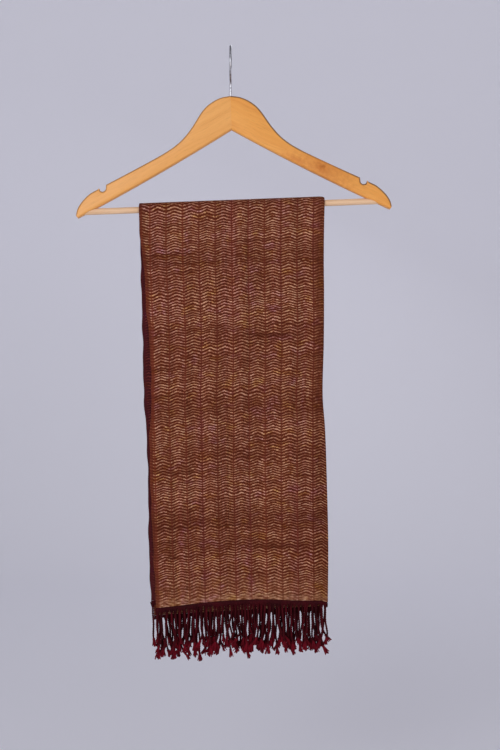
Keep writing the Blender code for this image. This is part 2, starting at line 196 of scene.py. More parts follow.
shawl_middle = Vector((0.0, 0.0, -0.5))
for name, place, size, power, tint in (
    ("sky side", (-1.1, -2.4, 0.3), 1.6, 27.0, colour(246, 249, 255)),
    ("ground bounce", (0.5, -1.8, -1.1), 1.4, 10.4, colour(255, 238, 218)),
    ("behind", (0.8, 2.4, 1.2), 1.6, 10.0, colour(246, 248, 255)),
):
    lamp_data = bpy.data.lights.new(name, "AREA")
    lamp_data.shape = "DISK"
    lamp_data.size = size
    lamp_data.energy = power
    lamp_data.color = tint[:3]
    lamp = add_object(name, lamp_data)
    lamp.location = place
    lamp.rotation_euler = (shawl_middle - Vector(place)).to_track_quat("-Z", "Y").to_euler()


# Hook
# Chrome wire, 3 mm thick, that stands in a hole at the hanger's seam. It bends to the front, goes
# round a bight 46 mm across inside and ends rounded at the back.
wire_radius = 1.5 * MM
wire_sides = 20
hook_inner_radius = 23.0 * MM
apex_below_origin = 69.9 * MM
shank_depth = 21.6 * MM
ring_radius = hook_inner_radius + wire_radius
ring_height = -hook_inner_radius
ring_joins_at = radians(36)
ring_ends_at = radians(262)
bend_below_ring = 7.5 * MM
bend_pull = 7.0 * MM
bend_steps = 18
ring_steps = 72
tip_flare = Vector((0.0, 1.2 * MM, -2.4 * MM))
tip_steps = 6
tip_blunt = 0.12


def upright(height):
    return Vector((0.0, 0.0, height))


def on_ring(angle):
    return Vector((0.0, -ring_radius * sin(angle), ring_height - ring_radius * cos(angle)))


# Faces of a tube, closed at both ends, whose rings of points follow one another
def ring_faces(rings, sides):
    faces = []
    for low in range(0, (rings - 1) * sides, sides):
        for corner in range(sides):
            beside = low + (corner + 1) % sides
            faces.append((low + corner, beside, beside + sides, low + corner + sides))
    faces.append(tuple(reversed(range(sides))))
    faces.append(tuple(range((rings - 1) * sides, rings * sides)))
    return faces


# Round rod along a path. Each ring is turned as little as it can be from the one before.
def build_rod(name, path, radii, sides, materials=()):
    side = Vector((1.0, 0.0, 0.0))
    points = []
    for index, place in enumerate(path):
        along = (path[min(index + 1, len(path) - 1)] - path[max(index - 1, 0)]).normalized()
        side = (side - along * side.dot(along)).normalized()
        other = along.cross(side)
        for corner in range(sides):
            turn = 2 * pi * corner / sides
            points.append(place + (side * cos(turn) + other * sin(turn)) * radii[index])
    return mesh_piece(name, points, ring_faces(len(path), sides), materials)


hook_path = [upright(-apex_below_origin - shank_depth), upright(-apex_below_origin)]
bend_start = upright(ring_height - ring_radius - bend_below_ring)
join = on_ring(ring_joins_at)
heading = Vector((0.0, -cos(ring_joins_at), sin(ring_joins_at)))
bend = (bend_start, bend_start + upright(bend_pull), join - heading * bend_pull, join)
hook_path += interpolate_bezier(*bend, bend_steps + 1)[:-1]
for step in range(ring_steps + 1):
    hook_path.append(on_ring(ring_joins_at + (ring_ends_at - ring_joins_at) * step / ring_steps))
hook_radii = [wire_radius] * len(hook_path)
flare_start = hook_path[-1]
for step in range(1, tip_steps + 1):
    turn = pi / 2 * step / tip_steps
    hook_path.append(flare_start + tip_flare * sin(turn))
    hook_radii.append(wire_radius * max(cos(turn), tip_blunt))
chrome, chrome_tree, chrome_shader = start_material("chrome wire", Metallic=1.0)
chrome_streaks = signal(chrome_tree, "ShaderNodeTexCoord", "Object").noise(260.0, 3.0)
chrome_tone = chrome_streaks.ramp(((0.35, colour(140, 140, 145)), (0.7, colour(214, 214, 218))))
chrome_tone.to(chrome_shader, "Base Color")
chrome_streaks.remap(0.0, 1.0, 0.22, 0.42).to(chrome_shader, "Roughness")
hook = build_rod("hook_wire", hook_path, hook_radii, wire_sides, [chrome])
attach(hook, "root")
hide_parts("hanger_hook")


# Hanger arms
# Two flat pieces of light wood, 12 mm thick, sawn to shape, glued at the middle and varnished. The
# edges are rounded over, and each shoulder has a notch for straps. All hangs 1.65 degrees off level.
arm_thickness = 12.0 * MM
edge_rounding = 3.4 * MM
rounding_steps = 6
hanger_roll = radians(1.65)
bar_tilt = radians(0.5)
bar_below_apex = 157.0 * MM
bar_radius = 4.5 * MM
bar_half_length = 216.0 * MM
hole_clearance = 0.35 * MM
hook_hole_depth = 22.0 * MM
hook_hole_above = 10.0 * MM
bar_end_room = 0.4 * MM
sharp_angle = radians(38)


# A table's rows, each with its values under the names of the columns
def table(columns, *rows):
    return [SimpleNamespace(**dict(zip(columns.split(), row))) for row in rows]


# One arm's outline: how far out from the seam and how far up from the crown's top, in mm
arm_top = (
    (0.02, 0.0), (15.0, -2.6), (30.0, -10.4), (42.0, -22.0), (58.0, -45.6),
    (74.0, -63.4), (96.0, -78.6), (138.0, -100.3), (181.0, -121.4),
)
notch_out = 186.2
notch_height = -126.3
notch_radius = 4.7
notch_steps = 14
shoulder = (
    (191.6, -127.3), (204.5, -133.8), (216.0, -144.6), (222.6, -154.6),
    (224.8, -163.4), (222.8, -167.3),
)
lower_tip = Vector((219.5, -166.2))
lower_seam = Vector((0.02, -48.0))
lower_sag = 2.6
lower_steps = 24


def smooth_outline(rows, steps):
    points = [Vector(row) for row in rows]
    curve = []
    for index, (start, end) in enumerate(zip(points, points[1:])):
        leave = (end - points[max(index - 1, 0)]) / 6
        arrive = (points[min(index + 2, len(points) - 1)] - start) / 6
        curve += interpolate_bezier(start, start + leave, end - arrive, end, steps + 1)[:-1]
    return curve + points[-1:]


arm_outline = smooth_outline(arm_top, 7)
for step in range(notch_steps + 1):
    turn = pi + pi * step / notch_steps
    out = notch_out + notch_radius * cos(turn)
    arm_outline.append(Vector((out, notch_height + notch_radius * sin(turn))))
arm_outline += smooth_outline(shoulder, 6)
for step in range(lower_steps + 1):
    share = step / lower_steps
    sag = Vector((0.0, lower_sag * 4 * share * (1 - share)))
    arm_outline.append(lower_tip + (lower_seam - lower_tip) * share - sag)


# Turns a place in the hanger's own frame, level at its apex, to where it hangs
def hang(x, y, z):
    out = x * cos(hanger_roll) - z * sin(hanger_roll)
    up = x * sin(hanger_roll) + z * cos(hanger_roll)
    return Vector((out, y, up - apex_below_origin))


# Place on the bar's axis, which lies a little off level in the hanger
def along_bar(out):
    return hang(out * cos(bar_tilt), 0.0, out * sin(bar_tilt) - bar_below_apex)


def blend(tree, share, first, second, blend_type="MIX"):
    values = {0: share, 6: first, 7: second}
    return signal(tree, "ShaderNodeMix", 2, values, data_type="RGBA", blend_type=blend_type)


def add_relief(shader, height, strength, distance):
    values = {"Height": height, "Strength": strength, "Distance": distance}
    signal(height.tree, "ShaderNodeBump", "Normal", values).to(shader, "Normal")


def grey(level):
    return (level, level, level, 1.0)


# Painted edge shade: its colour, and how squarely an edge faces front or back, from 0 to 1, each with
# its depth
painted_edge_shade_brown = colour(122, 78, 42)
painted_edge_shades = (
    (0.0, 0.5), (0.25, 0.55), (0.45, 1.0), (0.87, 1.0), (0.998, 0.0), (1.0, 0.0),
)


# Wood: long soft grain along the piece, fine pores, slow changes of tone, varnish where it has a coat
# and painted shade on the rounded edges. A mark is a stain or knot on the piece, in mm from the hook's
# inner top.
def wood_material(name, light, dark, slope, coat, painted_edge_shade_depth, marks=()):
    material, tree, shader = start_material(
        name, Specular_IOR_Level=0.3, Coat_Weight=coat, Coat_Roughness=0.22
    )

    def levelled(vector):
        values = {"Vector": vector, "Rotation": (0.0, slope, 0.0)}
        return signal(tree, "ShaderNodeMapping", "Vector", values, vector_type="TEXTURE")

    place = signal(tree, "ShaderNodeTexCoord", "Object")
    turned = levelled(place)
    stretched = {"Vector": turned, "Scale": (0.05, 0.6, 1.0)}
    stretched = signal(tree, "ShaderNodeMapping", "Vector", stretched)
    wander = turned.noise(9.0, output="Color")
    bent = wander.vector_step("MULTIPLY_ADD", (0.004, 0.0, 0.016), stretched)
    grain = bent.noise(330.0, 5.0, 0.6)
    broad = bent.noise(70.0)
    tone = signal(tree, "ShaderNodeMix", 0, {0: 0.45, 2: grain, 3: broad})
    pores = bent.noise(1500.0, 2.0, 0.7).remap(0.30, 0.44, 0.86, 1.0)
    shown = blend(tree, 1.0, tone.ramp(((0.34, dark), (0.62, light))), pores, "MULTIPLY")

    # Painted shade on the rounded edges, most on the upper ones, which face the dimmer sky overhead
    facing = signal(tree, "ShaderNodeNewGeometry", "Normal").parts()
    upper = facing[2].remap(-0.2, 0.3, 0.0, painted_edge_shade_depth)
    stops = [(flatness, grey(shade)) for flatness, shade in painted_edge_shades]
    rounded = facing[1].step("ABSOLUTE").ramp(stops)
    shown = blend(tree, upper * rounded, shown, painted_edge_shade_brown)
    blots = place.noise(170.0, 3.0, 0.6)
    for mark in marks:
        away = levelled(place.vector_step("SUBTRACT", (mark.x * MM, 0.0, mark.z * MM)))
        reach = (1.0 / (mark.long * MM), 0.0, 1.0 / (mark.high * MM))
        away = away.vector_step("MULTIPLY", reach).vector_step("LENGTH", output="Value")
        ragged = blots * 1.6 + away
        shown = blend(tree, ragged.soft_step(0.75, 1.85, mark.depth, 0.0), shown, mark.stain)
    shown.to(shader, "Base Color")
    add_relief(shader, grain, 0.12, 0.4 * MM)
    grain.remap(0.0, 1.0, 0.34, 0.5).to(shader, "Roughness")
    return material


# Resin along the right arm, a darker stain on its edge, and a knot with its core
right_marks = table(
    "x z long high depth stain",
    (134.0, -174.0, 64.0, 34.0, 0.85, colour(207, 130, 54)),
    (92.0, -160.5, 30.0, 7.0, 0.7, colour(206, 124, 48)),
    (129.0, -171.5, 15.0, 9.0, 0.66, colour(186, 102, 22)),
    (131.0, -170.5, 6.0, 3.6, 0.5, colour(156, 86, 16)),
)
arm_slope = atan2(lower_seam.y - lower_tip.y, lower_tip.x - lower_seam.x)
left_slope = -(arm_slope + hanger_roll)
right_slope = arm_slope - hanger_roll
# The left arm, nearer the sky-side lamp, gets less painted edge shade than the right
left_wood = wood_material(
    "left arm wood", colour(237, 171, 93), colour(228, 159, 80), left_slope, 0.12, 0.6
)
right_wood = wood_material(
    "right arm wood", colour(238, 167, 80), colour(226, 149, 64), right_slope, 0.12, 1.0, right_marks
)
hook_hole_path = [upright(end - apex_below_origin) for end in (-hook_hole_depth, hook_hole_above)]
bar_hole_path = [along_bar(side * (bar_half_length + bar_end_room)) for side in (-1, 1)]
holes = (
    build_rod("hook hole", hook_hole_path, [wire_radius + hole_clearance] * 2, 24),
    build_rod("bar hole", bar_hole_path, [bar_radius + hole_clearance] * 2, 40),
)


# How each point of the outline moves in as the edge is rounded: not too far at a sharp corner, and
# along the seam at its ends
def inward_ways(outline, sharpest_corner=0.7):
    edges = [end - start for start, end in zip(outline, outline[1:] + outline[:1])]
    inwards = [Vector((edge.y, -edge.x)).normalized() for edge in edges]
    ways = []
    for index, inward in enumerate(inwards):
        way = (inwards[index - 1] + inward).normalized()
        ways.append(way / max(way.dot(inward), sharpest_corner))
    ways[0] = Vector((0.0, 1.0 / inwards[0].y))
    ways[-1] = Vector((0.0, 1.0 / inwards[-2].y))
    return ways


# Radius of the rounding, cut at the notch until enough of each edge is left, and from there growing
def rounding_radii(outline, ways, least_left=0.25, cut=0.85, growth=0.5):
    count = len(outline)
    radii = [edge_rounding] * count
    crossed = True
    while crossed:
        crossed = False
        for index in range(count):
            following = (index + 1) % count
            edge = outline[following] - outline[index]
            moved = edge + ways[following] * radii[following] - ways[index] * radii[index]
            if moved.dot(edge) < least_left * edge.length_squared:
                radii[index] *= cut
                radii[following] *= cut
                crossed = True
    for index in [*range(count), *reversed(range(count))]:
        for beside in (index - 1, (index + 1) % count):
            apart = (outline[beside] - outline[index]).length
            radii[index] = min(radii[index], radii[beside] + growth * apart)
    return radii


# Takes out points that no face uses, and turns the faces outwards
def clean(piece):
    shape = bmesh.new()
    shape.from_mesh(piece.data)
    unused = [vert for vert in shape.verts if not vert.link_faces]
    bmesh.ops.delete(shape, geom=unused, context="VERTS")
    bmesh.ops.recalc_face_normals(shape, faces=shape.faces)
    shape.to_mesh(piece.data)
    shape.free()


def build_arm(name, side):
    outline = [place * MM for place in arm_outline]
    ways = inward_ways(outline)
    radii = rounding_radii(outline, ways)
    turns = [pi / 2 * step / rounding_steps for step in range(rounding_steps + 1)]
    points = []
    for facing, turn in [(-1, turn) for turn in reversed(turns)] + [(1, turn) for turn in turns]:
        for place, way, radius in zip(outline, ways, radii):
            moved = place + way * radius * (1 - cos(turn))
            depth = arm_thickness / 2 - radius + radius * sin(turn)
            points.append(hang(side * moved.x, facing * depth, moved.y))
    arm = mesh_piece(name, points, ring_faces(2 * len(turns), len(outline)))
    clean(arm)
    for hole in holes:
        cut = arm.modifiers.new("cut " + hole.name, "BOOLEAN")
        cut.operation = "DIFFERENCE"
        cut.solver = "EXACT"
        cut.object = hole
    return arm


# Replaces an object's live modifiers by the plain mesh that they make
def settle(thing, material):
    bpy.context.view_layer.update()
    graph = bpy.context.evaluated_depsgraph_get()
    made = bpy.data.meshes.new_from_object(thing.evaluated_get(graph), depsgraph=graph)
    thing.modifiers.clear()
    thing.data = made
    made.materials.clear()
    made.materials.append(material)
    made.polygons.foreach_set("material_index", [0] * len(made.polygons))


for side, end, wood in ((-1, "left", left_wood), (1, "right", right_wood)):
    arm = build_arm("arm_" + end, side)
    settle(arm, wood)
    arm.data.shade_smooth()
    arm.data.set_sharp_from_angle(angle=sharp_angle)
    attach(arm, "root")
    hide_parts("hanger_arm_" + end)
for hole in holes:
    bpy.data.objects.remove(hole, do_unlink=True)


# Bar
# A turned round of paler, unvarnished wood, pushed into a blind hole in each arm.
bar_sides = 36
bar_path = [along_bar(stop * bar_half_length) for stop in (-1.0, -0.5, 0.0, 0.5, 1.0)]
bar_slope = -(hanger_roll + bar_tilt)
bar_wood = wood_material(
    "bar wood", colour(236, 200, 162), colour(216, 172, 130), bar_slope, 0.0, 0.0
)
bar = build_rod("trouser_bar", bar_path, [bar_radius] * len(bar_path), bar_sides, [bar_wood])
bar.data.set_sharp_from_angle(angle=sharp_angle)
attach(bar, "root")
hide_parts("hanger_bar")


# Shawl
# One woven panel of wool, about 53 by 116 cm, folded once lengthwise with its zigzag face outside
# and hung over the bar. It is one thin closed shell, on the form of the three solids of the cloth.
wall = 1.6 * MM
leaf_gap = 1.6 * MM
bar_clearance = 0.3 * MM
bend_reach = 8.0 * MM
flat_width = 528.0 * MM
flat_front = 562.0 * MM
flat_back = 576.0 * MM

# Edges in mm from the middle, by share of the way from the bar to the hem. The inner leaf's left
# edge shows beside the outer leaf's.
front_edges = table(
    "share inner_left outer_left fold_right",
    (0.00, -130.5, -130.2, 133.8),
    (0.08, -128.4, -128.1, 132.9),
    (0.15, -127.8, -122.5, 132.6),
    (0.23, -126.5, -120.4, 133.0),
    (0.35, -124.8, -114.6, 132.6),
    (0.48, -123.3, -112.2, 131.0),
    (0.57, -119.7, -115.0, 134.5),
    (0.70, -117.2, -113.6, 137.0),
    (0.85, -116.4, -109.6, 138.9),
    (1.00, -113.2, -105.5, 138.4),
)
back_edges = table(
    "share inner_left outer_left fold_right",
    (0.00, -130.5, -130.2, 133.8),
    (0.15, -126.0, -125.0, 131.5),
    (0.35, -123.0, -118.5, 131.0),
    (0.60, -117.6, -115.5, 131.2),
    (0.80, -113.5, -110.0, 130.6),
    (1.00, -109.8, -104.5, 129.8),
)

# Drop of a hem in mm. Across runs from 0 at the inner leaf's free edge to 1 where the fold begins,
# 2 where it ends, and 3 at the outer leaf's free edge.
front_hem = table(
    "across drop",
    (0.0, 557.0), (0.7, 559.0), (1.5, 568.2), (2.05, 564.8),
    (2.35, 560.4), (2.6, 560.4), (3.0, 567.0),
)
back_hem = table(
    "across drop",
    (0.0, 581.0), (0.6, 578.0), (1.5, 575.5), (2.3, 572.0), (3.0, 576.0),
)

# Broad folds that grow towards the hem: middle, width and depth in mm
front_folds = table(
    "middle width depth starts",
    (-72.0, 30.0, 2.2, 0.20),
    (4.0, 34.0, 1.5, 0.45),
    (82.0, 32.0, 2.6, 0.12),
)
back_folds = table(
    "middle width depth starts",
    (-80.0, 34.0, 2.4, 0.15),
    (-6.0, 42.0, 3.2, 0.30),
    (74.0, 30.0, 2.0, 0.40),
)

# Soft creases: ridges where the lift is above nothing, and troughs where it is below. Each runs from
# one place on a fall to another, in mm from the middle and below the bar.
front_creases = table(
    "from_x from_down to_x to_down width lift",
    (-118, 291, 34, 283, 10, 0.9),
    (126, 258, 46, 338, 16, -1.2),
    (122, 14, 72, 196, 14, 1.0),
    (-112, 26, -84, 214, 13, -0.9),
    (-22, 176, 9, 468, 18, -1.0),
    (60, 336, 51, 552, 15, 1.1),
    (-58, 384, -79, 560, 14, -1.2),
    (98, 402, 119, 560, 12, 1.0),
    (-104, 430, -92, 520, 8, 0.7),
    (18, 40, -36, 128, 20, 0.7),
)
back_creases = table(
    "from_x from_down to_x to_down width lift",
    (-110, 296, 52, 289, 10, 0.9),
    (124, 60, 64, 232, 15, -1.2),
    (-116, 40, -70, 170, 13, 1.0),
    (-40, 210, -18, 500, 17, -1.1),
    (38, 330, 56, 574, 15, 1.1),
    (100, 380, 88, 575, 12, -0.9),
    (-92, 402, -80, 578, 13, 0.9),
    (22, 34, -8, 142, 20, -0.7),
)


# Reads a column of a table at a place, through a smooth curve that keeps its rows' values
def table_value(rows, key, column, place):
    places = [getattr(row, key) for row in rows]
    values = [getattr(row, column) for row in rows]
    if not places[0] < place < places[-1]:
        return values[0] if place <= places[0] else values[-1]
    low = max(index for index, start in enumerate(places) if start <= place)
    high = low + 1
    before = max(low - 1, 0)
    after = min(low + 2, len(rows) - 1)
    span = places[high] - places[low]
    leave = span * (values[high] - values[before]) / (places[high] - places[before])
    arrive = span * (values[after] - values[low]) / (places[after] - places[low])
    share = (place - places[low]) / span
    square = share * share
    cube = square * share
    return (
        (2 * cube - 3 * square + 1) * values[low]
        + (cube - 2 * square + share) * leave
        + (3 * square - 2 * cube) * values[high]
        + (cube - square) * arrive
    )


def bar_height(x):
    middle_x = bar_below_apex * sin(hanger_roll)
    middle = -apex_below_origin - bar_below_apex * cos(hanger_roll)
    return middle + (x - middle_x) * tan(hanger_roll + bar_tilt)


def edge_place(edges, column, share):
    return table_value(edges, "share", column, share) * MM


def bend_place(edges, share):
    return edge_place(edges, "fold_right", share) - wall / 2 - bend_reach


# Place across the sheet: x, and how far it lies outwards of the middle of the two leaves
def across_place(edges, across, share):
    half_gap = (wall + leaf_gap) / 2
    bend_x = bend_place(edges, share)
    if across <= 1.0:
        left = edge_place(edges, "inner_left", share)
        return left + (bend_x - left) * across, -half_gap
    if across <= 2.0:
        turn = pi * (across - 1.0)
        return bend_x + bend_reach * sin(turn), -half_gap * cos(turn)
    left = edge_place(edges, "outer_left", share)
    return bend_x + (left - bend_x) * (across - 2.0), half_gap


def fold_depth(folds, x, share):
    depth = 0.0
    for fold in folds:
        grown = max(share - fold.starts, 0.0) / (1.0 - fold.starts)
        away = (x / MM - fold.middle) / fold.width
        depth += fold.depth * MM * grown * exp(-away * away)
    return depth


def crease_lift(creases, x, down):
    lift = 0.0
    for crease in creases:
        start = Vector((crease.from_x, crease.from_down)) * MM
        run = Vector((crease.to_x, crease.to_down)) * MM - start
        place = Vector((x, down)) - start
        along = place.dot(run) / run.length_squared
        if 0.0 < along < 1.0:
            away = (place - run * along).length / (crease.width * MM)
            lift += crease.lift * MM * sin(pi * along) * exp(-away * away)
    return lift


falls = table(
    "end side edges hem folds creases strand_share",
    ("front", -1, front_edges, front_hem, front_folds, front_creases, 1.09),
    ("back", 1, back_edges, back_hem, back_folds, back_creases, 0.99),
)
leaves_middle = bar_radius + bar_clearance + wall + leaf_gap / 2
edge_wave_height = 0.45 * MM
edge_wave_reach = 0.02
edge_wave_starts = 20.0 * MM
long_wave = 9.5 * MM
short_wave = 5.7 * MM
short_wave_share = 0.7
outer_edge_phase = 2.1


# A free edge isn't quite straight: it draws in a little wherever the weft was beaten up harder
def edge_wave(across, drop):
    near = exp(-min(across, 3.0 - across) / edge_wave_reach)
    phase = 0.0 if across < 1.5 else outer_edge_phase
    wave = sin(drop / long_wave + phase)
    wave += short_wave_share * sin(drop / short_wave + 2 * phase)
    return edge_wave_height * near * wave * min(drop / edge_wave_starts, 1.0)


def fall_point(fall, across, share):
    x, outwards = across_place(fall.edges, across, share)
    drop = table_value(fall.hem, "across", "drop", across) * MM * share
    x += edge_wave(across, drop)
    bow = fold_depth(fall.folds, x, share) + crease_lift(fall.creases, x, drop)
    return Vector((x, fall.side * (leaves_middle + outwards + bow), bar_height(x) - drop))


# Middle surface of the whole sheet: way runs from -1 at the front hem through 0 to 1 on the bar,
# and on to 2 at the back hem
def sheet_point(across, way):
    if way < 0.0:
        return fall_point(falls[0], across, -way)
    if way > 1.0:
        return fall_point(falls[1], across, way - 1.0)
    turn = pi * way
    x, outwards = across_place(front_edges, across, 0.0)
    radius = leaves_middle + outwards
    return Vector((x, -radius * cos(turn), bar_height(x) + radius * sin(turn)))


# Even steps through stretches of the sheet, each one long, with closer steps at both outer ends
def close_ended(end_steps, *stretches):
    places = [start + step / count for start, count in stretches for step in range(count)]
    first, last = places[0], stretches[-1][0] + 1.0
    return [first + step for step in end_steps] + places[1:] + [last - step for step in end_steps[::-1]]


# Columns across one leaf, round the fold and across the other. Those at the free edges lie close,
# where the wall thins to a rounded selvedge, and so do the rows at the hems.
edge_steps = (0.0, 0.0006, 0.0016, 0.0032)
leaf_columns = 60
bend_columns = 14
columns = close_ended(edge_steps, (0.0, leaf_columns), (1.0, bend_columns), (2.0, leaf_columns))
hem_steps = (0.0, 0.0003, 0.0008, 0.0016)
fall_rows = 112
crown_rows = 22
rows = close_ended(hem_steps, (-1.0, fall_rows), (0.0, crown_rows), (1.0, fall_rows))
wide = len(columns)
high = len(rows)


# Thickness falls off in a quarter round over the last 0.8 mm before a free edge
def edge_share(distance):
    reach = min(distance / (wall / 2), 1.0)
    return sqrt(max(1.0 - (1.0 - reach) ** 2, 0.0))


def lengths_along(line):
    return [0.0, *accumulate((end - start).length for start, end in zip(line, line[1:]))]


# The weave is drawn in as the fall narrows towards a hem, so flat lengths are a little longer there.
# The fold doesn't keep to one thread: it lies to one side of the sheet's middle, then to the other.
drawn_in = 0.058
fold_places = table(
    "way off",
    (-1.0, -3.2), (-0.84, -4.3), (-0.64, -1.6), (-0.44, 4.1), (-0.20, 3.1),
    (0.0, 2.9), (1.0, 2.9), (1.5, -1.0), (2.0, -4.0),
)
bend_middle = columns.index(1.0) + bend_columns // 2
crown_start = rows.index(0.0)
crown_end = rows.index(1.0)
sheet_middle = [[sheet_point(across, way) for across in columns] for way in rows]
lengths_down = [lengths_along(line) for line in zip(*sheet_middle)]
skins = ([], [])
flat_places = []
distances = dict(from_hem=[], from_side=[])
for row, way in enumerate(rows):
    line = sheet_middle[row]
    above = sheet_middle[min(row + 1, high - 1)]
    below = sheet_middle[max(row - 1, 0)]
    along = lengths_along(line)
    gathered = 1.0 + drawn_in * max(-way, way - 1.0, 0.0)
    fold_place = flat_width / 2 + table_value(fold_places, "way", "off", way) * MM
    for column, down in enumerate(lengths_down):
        beside = line[min(column + 1, wide - 1)] - line[max(column - 1, 0)]
        normal = beside.cross(above[column] - below[column]).normalized()
        from_side = min(along[column], along[-1] - along[column])
        from_hem = min(down[row], down[-1] - down[row])
        half = wall / 2 * edge_share(min(from_side, from_hem))
        skins[0].append(line[column] + normal * half)
        skins[1].append(line[column] - normal * half)
        round_bar = down[min(max(row, crown_start), crown_end)] - down[crown_start]
        flat_down = flat_front * (1.0 + min(way, 0.0)) + round_bar + flat_back * max(way - 1.0, 0.0)
        flat_places.append((fold_place + (along[column] - along[bend_middle]) * gathered, flat_down))
        distances["from_hem"].append(from_hem)
        distances["from_side"].append(from_side)


# Both skins meet in one row of points at each free edge, so that the shell is closed
def skin_corner(skin, row, column):
    corner = row * wide + column
    on_rim = row in (0, high - 1) or column in (0, wide - 1)
    return corner if skin == 0 or on_rim else high * wide + corner


shell_faces = []
for skin in (0, 1):
    for row in range(high - 1):
        for column in range(wide - 1):
            ring = ((row, column), (row, column + 1), (row + 1, column + 1), (row + 1, column))
            quad = [skin_corner(skin, *place) for place in ring]
            shell_faces.append(quad if skin == 0 else quad[::-1])
skin_faces = len(shell_faces) // 2

# Heights above the hem in mm, each with its tone: where a cone of yarn ran darker or lighter, the
# cloth has a band across. The row of bands begins again on the back fall.
weft_bands = (
    (20, 0.03), (32, -0.03), (56, 0.05), (80, -0.14), (97, 0.01), (116, -0.18),
    (138, 0.02), (156, 0.09), (202, -0.06), (222, -0.01), (243, 0.10), (274, -0.10),
    (310, 0.05), (345, -0.01), (386, -0.05), (406, 0.14), (434, 0.10), (455, -0.03),
    (468, 0.03), (487, -0.10), (520, 0.12), (551, 0.05),
)


def attribute(tree, label):
    return signal(tree, "ShaderNodeAttribute", "Fac", attribute_name=label)


